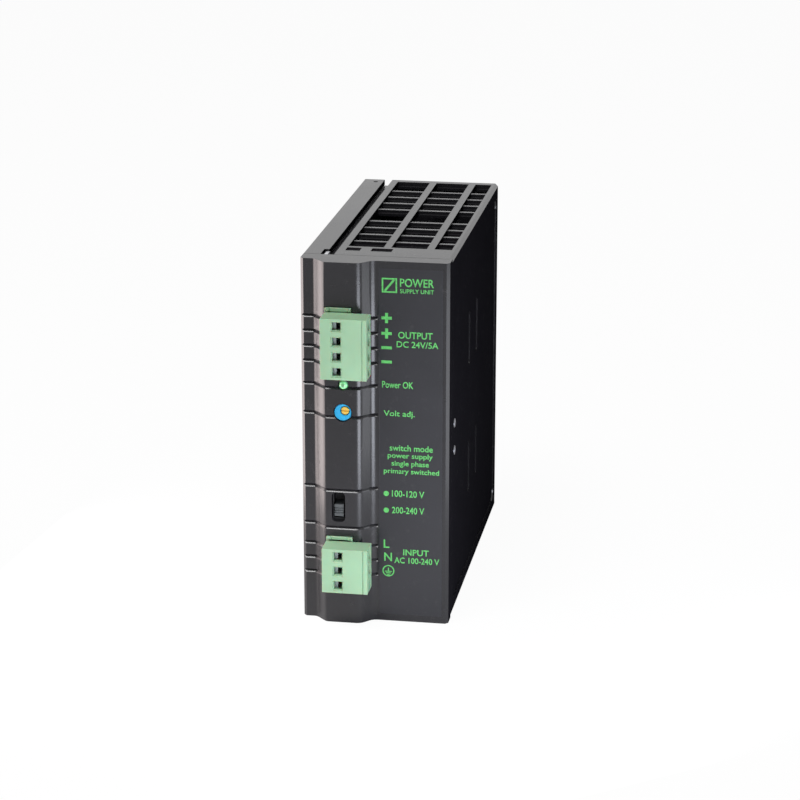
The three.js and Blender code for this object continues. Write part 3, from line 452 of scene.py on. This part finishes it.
mats.update({name: tintedLens(name, look) for name, look in lenses.items()})
mats["board"] = circuitLaminate("board")
mats["ferrite"] = ferriteCore("ferrite")
mats["tape"] = tapeWinding("tape")
mats["wire"] = woundWire("wire")
mats["sleeve"] = shrinkSleeve("sleeve")
mats["ink"] = printedInk("ink", {"color": (0.085, 0.43, 0.095), "rough": 0.45})

slotLooks = {
    "black_plastic": "blackPlastic",
    "label_foil": "labelFoil",
    "terminal_green": "terminalGreen",
    "zinc_steel": "zinc",
    "tinned_brass": "tinned",
    "circuit_board": "board",
    "blue_plastic": "trimmerBlue",
    "brass": "brass",
    "green_lens": "lens",
    "switch_black": "switchBlack",
    "switch_grey": "switchGrey",
    "ferrite": "ferrite",
    "winding_tape": "tape",
    "copper_wire": "wire",
    "capacitor_sleeve": "sleeve",
    "film_box": "filmBox",
    "aluminium": "aluminium",
    "glass_tube": "glass",
}
nodeSlot = {p["node"]: p["material_slot"] for p in frame["record"]["subparts"]}
for name, node in nodes.items():
    finish = slotLooks[nodeSlot[name]]
    if name.startswith("heat_sink_screw"):
        finish = "blackSteel"
    if "clamp_cage" in name:
        finish = "cageSteel"
    node.data.materials.clear()
    node.data.materials.append(mats[finish])
print("materials set")


# smooth shading where faces meet at a small angle
def smoothGroup(angle):
    group = bpy.data.node_groups.new("smoothShading", "GeometryNodeTree")
    group.interface.new_socket("Geometry", in_out="INPUT", socket_type="NodeSocketGeometry")
    group.interface.new_socket("Geometry", in_out="OUTPUT", socket_type="NodeSocketGeometry")
    start = group.nodes.new("NodeGroupInput")
    end = group.nodes.new("NodeGroupOutput")
    edgeAngle = group.nodes.new("GeometryNodeInputMeshEdgeAngle")
    small = group.nodes.new("FunctionNodeCompare")
    small.operation = "LESS_THAN"
    small.inputs["B"].default_value = angle
    faces = group.nodes.new("GeometryNodeSetShadeSmooth")
    seams = group.nodes.new("GeometryNodeSetShadeSmooth")
    seams.domain = "EDGE"
    link = group.links.new
    link(edgeAngle.outputs["Unsigned Angle"], small.inputs["A"])
    link(start.outputs[0], faces.inputs["Geometry"])
    link(faces.outputs[0], seams.inputs["Geometry"])
    link(small.outputs[0], seams.inputs["Shade Smooth"])
    link(seams.outputs[0], end.inputs[0])
    return group


# lengths in millimetres, angles in degrees
edges = {"weld": 0.002, "flat": 0.5, "sharp": 38, "segments": 2, "smooth": 35, "small": 0.08}
smoothing = smoothGroup(math.radians(edges["smooth"]))
softEdge = {
    "housing_shell": 0.22,
    "side_cover": 0.3,
    "front_cover": 0.3,
    "rail_foot": 0.3,
    "rail_latch": 0.3,
    "output_plug": 0.2,
    "input_plug": 0.2,
    "output_header": 0.2,
    "input_header": 0.2,
    "selector_slider": 0.2,
    "trimmer_body": 0.25,
    "trimmer_rotor": 0.12,
    "cover_clip": 0.12,
}


def soften(obj, width):
    weld = obj.modifiers.new("weld", "WELD")
    weld.merge_threshold = edges["weld"] * mm
    if width > 0:
        flat = obj.modifiers.new("flat", "DECIMATE")
        flat.decimate_type = "DISSOLVE"
        flat.angle_limit = math.radians(edges["flat"])
        bevel = obj.modifiers.new("edge", "BEVEL")
        bevel.width = width * mm
        bevel.segments = edges["segments"]
        bevel.limit_method = "ANGLE"
        bevel.angle_limit = math.radians(edges["sharp"])
    shade = obj.modifiers.new("shade", "NODES")
    shade.node_group = smoothing
    level = obj.modifiers.new("level", "WEIGHTED_NORMAL")
    level.keep_sharp = True
    level.mode = "FACE_AREA"


for name, node in nodes.items():
    fine = edges["small"] if "screw" in name or "cage" in name else 0
    soften(node, softEdge.get(name, fine))
print("edges softened")

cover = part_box("front_cover")
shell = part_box("housing_shell")
stripRise = 4.2 * mm
frontFace = cover[0].y + stripRise  # the cover's flat face
leftSide = cover[0].x
caseTop = cover[1].z

# It looks at a point a little left of and below the case's middle; angles are in degrees,
# the lens and the sensor in millimetres, and the rest in metres.
view = {
    "azimuth": 9.3163,
    "elevation": 17.0386,
    "distance": 0.91285,
    "lens": 117.28395,
    "sensor": 36,
    "left": 0.001626089,
    "below": 0.003078943,
    "clip": (0.05, 20),
}
centre = Vector((0, (frontFace + shell[1].y) / 2, caseTop / 2))
turn = math.radians(view["azimuth"])
tilt = math.radians(view["elevation"])
back = Vector((math.sin(turn) * math.cos(tilt), -math.cos(turn) * math.cos(tilt), math.sin(tilt)))
across = Vector((math.cos(turn), math.sin(turn), 0))
upward = back.cross(across)
cameraData = bpy.data.cameras.new("camera")
camera = bpy.data.objects.new("camera", cameraData)
bpy.context.scene.collection.objects.link(camera)
bpy.context.scene.camera = camera
cameraData.sensor_width = view["sensor"]
cameraData.lens = view["lens"]
cameraData.clip_start, cameraData.clip_end = view["clip"]
camera.location = centre + back * view["distance"]
aim = centre - across * view["left"] - upward * view["below"]
camera.rotation_mode = "QUATERNION"
camera.rotation_quaternion = (aim - camera.location).to_track_quat("-Z", "Y")
print("camera set")


def asPiece(name, mesh, finish, body):
    mesh.materials.append(mats[finish])
    obj = bpy.data.objects.new(name, mesh)
    bpy.context.scene.collection.objects.link(obj)
    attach(obj, body)
    return obj


# The printed legend, in millimetres: places are x from the case's left side and then how far
# down from its top, and a word also fills the box given by its left, right, top and bottom.
legend = {
    "rise": 0.03,
    "words": [
        ("POWER", 32.8, 43.9, 5.5, 8.3),
        ("SUPPLY UNIT", 32.8, 43.9, 9.0, 10.4),
        ("OUTPUT", 32.2, 43.5, 23.3, 25.6),
        ("DC 24V/5A", 31.7, 45.4, 26.5, 28.6),
        ("Power OK", 26.9, 37.2, 40.2, 42.5),
        ("Volt adj.", 27.4, 37.7, 50.2, 52.7),
        ("switch mode", 29.4, 43.7, 61.9, 64.0),
        ("power supply", 28.7, 43.7, 64.7, 67.0),
        ("single phase", 30.0, 42.4, 67.4, 69.7),
        ("primary switched", 27.4, 45.8, 70.1, 72.4),
        ("100-120 V", 30.1, 40.9, 77.7, 80.0),
        ("200-240 V", 30.1, 40.9, 83.5, 85.8),
        ("L", 27.3, 29.2, 95.2, 98.1),
        ("N", 27.5, 30.1, 99.8, 102.7),
        ("INPUT", 33.9, 42.5, 98.3, 100.4),
        ("AC 100-240 V", 30.9, 46.0, 101.2, 103.3),
    ],
    "plus": [(28.4, 18.9), (28.4, 24.1)],
    "minus": [(28.4, 28.9), (28.4, 33.7)],
    "signLong": 3.4,
    "signThick": 0.95,
    "dots": [(28.2, 79.0), (28.2, 84.8)],
    "dotRadius": 0.9,
    "earth": {
        "middle": (28.9, 106.2),
        "radius": 2.0,
        "line": 0.35,
        "stem": 1.1,
        "bars": (2.4, 1.6, 0.8),
        "barThick": 0.3,
        "barDown": 0.2,
        "barStep": 0.55,
    },
    "converter": {
        "middle": (29.35, 7.95),
        "line": 0.5,
        "sideAway": 2.25,
        "sideLong": 4.9,
        "levelAway": 2.2,
        "levelLong": 4.0,
        "slash": [(27.5, 9.7), (28.2, 9.9), (31.2, 6.2), (30.5, 6.0)],
    },
    "letterSwell": 0.012,
    "letterSteps": 3,
}


def legendPlace(x, down, rise=0.0):
    return Vector((leftSide + x * mm, frontFace - rise * mm, caseTop - down * mm))


# a flat shape on the label, with its edges turned back to the surface
def addInk(form, outline):
    front = [form.verts.new(legendPlace(x, down, legend["rise"])) for x, down in outline]
    rear = [form.verts.new(legendPlace(x, down)) for x, down in outline]
    form.faces.new(front)
    form.faces.new(list(reversed(rear)))
    for i in range(len(front)):
        j = (i + 1) % len(front)
        form.faces.new((front[j], front[i], rear[i], rear[j]))


def inkBar(form, x, down, long, thick):
    w = long / 2
    h = thick / 2
    addInk(form, [(x - w, down + h), (x + w, down + h), (x + w, down - h), (x - w, down - h)])


def inkDot(form, x, down, radius, sides=20):
    turns = [2 * math.pi * i / sides for i in range(sides)]
    addInk(form, [(x + radius * math.cos(t), down - radius * math.sin(t)) for t in turns])


def inkRing(form, x, down, outer, inner, sides=28):
    for i in range(sides):
        t = 2 * math.pi * i / sides
        u = 2 * math.pi * (i + 1) / sides
        corners = [(inner, t), (outer, t), (outer, u), (inner, u)]
        addInk(form, [(x + r * math.cos(v), down - r * math.sin(v)) for r, v in corners])


def inkWord(form, text, x0, x1, top, bottom):
    curve = bpy.data.curves.new("word", "FONT")
    curve.body = text
    curve.size = 1
    curve.resolution_u = legend["letterSteps"]
    curve.offset = legend["letterSwell"]
    curve.extrude = 0.5
    obj = bpy.data.objects.new("word", curve)
    bpy.context.scene.collection.objects.link(obj)
    shaped = obj.evaluated_get(bpy.context.evaluated_depsgraph_get())
    mesh = bpy.data.meshes.new_from_object(shaped)
    bpy.data.objects.remove(obj)
    xs = [v.co.x for v in mesh.vertices]
    ys = [v.co.y for v in mesh.vertices]
    wide = (x1 - x0) / (max(xs) - min(xs))
    high = (bottom - top) / (max(ys) - min(ys))
    for v in mesh.vertices:
        x = x0 + (v.co.x - min(xs)) * wide
        down = bottom - (v.co.y - min(ys)) * high
        v.co = legendPlace(x, down, legend["rise"] * (v.co.z + 0.5))
    form.from_mesh(mesh)
    bpy.data.meshes.remove(mesh)


def earthSign(form, sign):
    x, down = sign["middle"]
    inkRing(form, x, down, sign["radius"], sign["radius"] - sign["line"])
    inkBar(form, x, down - sign["stem"] / 2, sign["line"], sign["stem"])
    for step, long in enumerate(sign["bars"]):
        inkBar(form, x, down + sign["barDown"] + sign["barStep"] * step, long, sign["barThick"])


# a square crossed by a slanting line
def converterSign(form, sign):
    x, down = sign["middle"]
    line = sign["line"]
    for side in (-1, 1):
        inkBar(form, x + side * sign["sideAway"], down, line, sign["sideLong"])
        inkBar(form, x, down + side * sign["levelAway"], sign["levelLong"], line)
    addInk(form, sign["slash"])


def makeLegend():
    form = bmesh.new()
    for word in legend["words"]:
        inkWord(form, *word)
    for x, down in legend["plus"] + legend["minus"]:
        inkBar(form, x, down, legend["signLong"], legend["signThick"])
    for x, down in legend["plus"]:
        arm = (legend["signLong"] - legend["signThick"]) / 2
        for side in (-1, 1):
            middle = down + side * (legend["signThick"] + arm) / 2
            inkBar(form, x, middle, legend["signThick"], arm)
    for x, down in legend["dots"]:
        inkDot(form, x, down, legend["dotRadius"])
    earthSign(form, legend["earth"])
    converterSign(form, legend["converter"])
    mesh = bpy.data.meshes.new("printed_legend")
    form.to_mesh(mesh)
    form.free()
    return asPiece("printed_legend", mesh, "ink", "housing")


makeLegend()
print("legend made")

# The latch's spring, wound from round wire, with lengths in millimetres. It is wound at one
# length and does not shorten with the latch.
springLook = {
    "wireRadius": 0.22,
    "sides": 10,
    "turns": 6.5,
    "stepsPerTurn": 20,
    "endShare": 0.08,  # of its length, wound flat at each end
    "endRise": 0.06,  # what the flat ends climb, as a share of its height
    "travel": 5.0,  # how much shorter it gets
}


def tube(name, path, radius, sides):
    form = bmesh.new()
    rings = []
    for i, p in enumerate(path):
        ahead = (path[min(i + 1, len(path) - 1)] - path[max(i - 1, 0)]).normalized()
        side = ahead.cross(Vector((0, 0, 1))).normalized()
        up = side.cross(ahead)
        turns = [2 * math.pi * j / sides for j in range(sides)]
        around = [side * math.cos(t) + up * math.sin(t) for t in turns]
        rings.append([form.verts.new(p + out * radius) for out in around])
    for a, b in zip(rings, rings[1:]):
        for j in range(sides):
            n = (j + 1) % sides
            form.faces.new((a[j], a[n], b[n], b[j])).smooth = True
    form.faces.new(list(reversed(rings[0])))
    form.faces.new(rings[-1])
    bmesh.ops.recalc_face_normals(form, faces=form.faces)
    mesh = bpy.data.meshes.new(name)
    form.to_mesh(mesh)
    form.free()
    return mesh


def makeSpring():
    low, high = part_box("latch_spring")
    wire = springLook["wireRadius"] * mm
    middle = (low + high) / 2
    reach = (high.x - low.x) / 2 - wire
    steps = int(springLook["turns"] * springLook["stepsPerTurn"])
    foot = low.z + wire
    tall = high.z - low.z - 2 * wire
    end = springLook["endShare"]
    slow = springLook["endRise"]
    path = []
    for i in range(steps + 1):
        share = i / steps
        climb = min(1, max(0, (share - end) / (1 - 2 * end)))
        angle = 2 * math.pi * springLook["turns"] * share
        x = middle.x + reach * math.cos(angle)
        y = middle.y + reach * math.sin(angle)
        path.append(Vector((x, y, foot + tall * (slow * share + (1 - slow) * climb))))
    mesh = tube("wound_spring", path, wire, springLook["sides"])
    spring = asPiece("wound_spring", mesh, "zinc", "housing")
    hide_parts("latch_spring")
    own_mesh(spring)


makeSpring()
print("spring made")


# The eye and reflections see white, by the given share for each kind of ray, and any other
# ray meets the given shader.
def whiteForEyes(k, shader, white, shares):
    parts = [k.add("ShaderNodeLightPath", output=ray) * share for ray, share in shares.items()]
    seen = parts[0]
    for part in parts[1:]:
        seen = k.add("ShaderNodeMath", {"operation": "MAXIMUM"}, {0: seen, 1: part})
    return k.add("ShaderNodeMixShader", {}, {0: seen, 1: shader, 2: white})


floorLook = {
    "size": 6.0,
    "color": (0.82, 0.82, 0.82, 1),
    "seen": {"Is Camera Ray": 0.96, "Is Glossy Ray": 0.2, "Is Transmission Ray": 0.9},
}
bpy.ops.mesh.primitive_plane_add(size=floorLook["size"], location=(0, 0, 0))
floor = bpy.context.object
floor.name = "floor"
k = Kit("floor")
matt = k.add("ShaderNodeBsdfDiffuse", {}, {"Color": floorLook["color"]})
white = k.add("ShaderNodeEmission")
floor.data.materials.append(k.finish(whiteForEyes(k, matt, white, floorLook["seen"])))

skyLook = {
    "color": (0.92, 0.95, 1.0, 1),
    "strength": 0.13,
    "seen": {"Is Camera Ray": 1.0, "Is Glossy Ray": 1.0, "Is Transmission Ray": 1.0},
}
k = Kit("studio", "worlds")
sky = {"Color": skyLook["color"], "Strength": skyLook["strength"]}
dim = k.add("ShaderNodeBackground", {}, sky)
bright = k.add("ShaderNodeBackground", {}, {"Color": (1, 1, 1, 1)})
bpy.context.scene.world = k.finish(whiteForEyes(k, dim, bright, skyLook["seen"]))

# Each lamp stands at a bearing round the raised strip (0 is straight ahead, and left is
# negative), so far off and so high, and has a width and a height, all in metres. Its glow
# is how bright its face is.
lamps = {
    "ahead": {"at": (-25, 1.2, 0.8), "size": (0.8, 0.6), "glow": 0.6},
    "above": {"at": (-30, 0.4, 1.1), "size": (0.5, 0.5), "glow": 14},
    "leftPanel": {
        "at": (-96, 0.13, 0.06),
        "size": (0.15, 0.12),
        "glow": 5.6,
        "color": (1.0, 0.87, 0.85),
    },
    "rightPanel": {
        "at": (38, 0.15, 0.04),
        "size": (0.09, 0.08),
        "glow": 9.5,
        "color": (0.86, 0.9, 1.0),
    },
    "rightFill": {
        "at": (90, 0.17, 0.045),
        "size": (0.09, 0.09),
        "glow": 2.6,
        "color": (0.9, 0.93, 1.0),
    },
}
stripCentre = 14 * mm  # how far the strip's middle is from the left side
stripMiddle = Vector((leftSide + stripCentre, frontFace - stripRise, caseTop / 2))
nearby = 0.3  # a lamp closer than this stands upright, and a farther one is tipped to the case


def makeLamp(name, look):
    degrees, far, high = look["at"]
    wide, tall = look["size"]
    data = bpy.data.lights.new(name, "AREA")
    data.shape = "RECTANGLE"
    data.size = wide
    data.size_y = tall
    data.energy = look["glow"] * math.pi * wide * tall
    data.color = look.get("color", (1, 1, 1))
    lamp = bpy.data.objects.new(name, data)
    bpy.context.scene.collection.objects.link(lamp)
    lamp.visible_camera = False
    bearing = math.radians(degrees)
    lamp.location = stripMiddle + Vector((math.sin(bearing), -math.cos(bearing), 0)) * far
    lamp.location.z = high
    target = Vector((stripMiddle.x, stripMiddle.y, stripMiddle.z if far > nearby else high))
    lamp.rotation_mode = "QUATERNION"
    lamp.rotation_quaternion = (target - lamp.location).to_track_quat("-Z", "Y")


for name, look in lamps.items():
    makeLamp(name, look)
print("floor, world and lamps set")

bpy.context.scene.view_settings.view_transform = "Standard"
